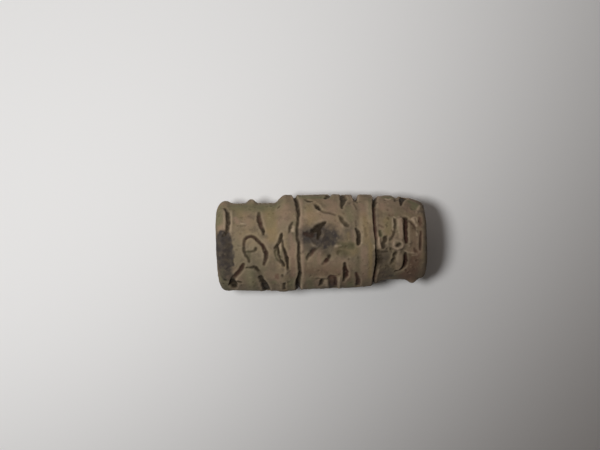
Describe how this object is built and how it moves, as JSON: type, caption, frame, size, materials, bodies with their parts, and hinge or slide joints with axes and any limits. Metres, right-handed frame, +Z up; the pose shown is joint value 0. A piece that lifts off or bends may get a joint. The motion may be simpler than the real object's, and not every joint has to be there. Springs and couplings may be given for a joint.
{
  "type": "cylinder seal",
  "caption": "Roll of grey-brown fired clay with a cord hole, raised rings and worn carved marks, for rolling a pattern into soft clay.",
  "frame": {"origin": "middle of the roll's box, on the rest flat underneath", "axes": "+X along the roll, from the collar to the tapered end; +Z up when it lies on its rest flat"},
  "size_m": [0.06, 0.028, 0.0274],
  "materials": {
    "fired_clay": "matte, unglazed, worn, with dark smudges from the fire"
  },
  "bodies": {
    "root": {"seal": "fired_clay"}
  },
  "joints": []
}
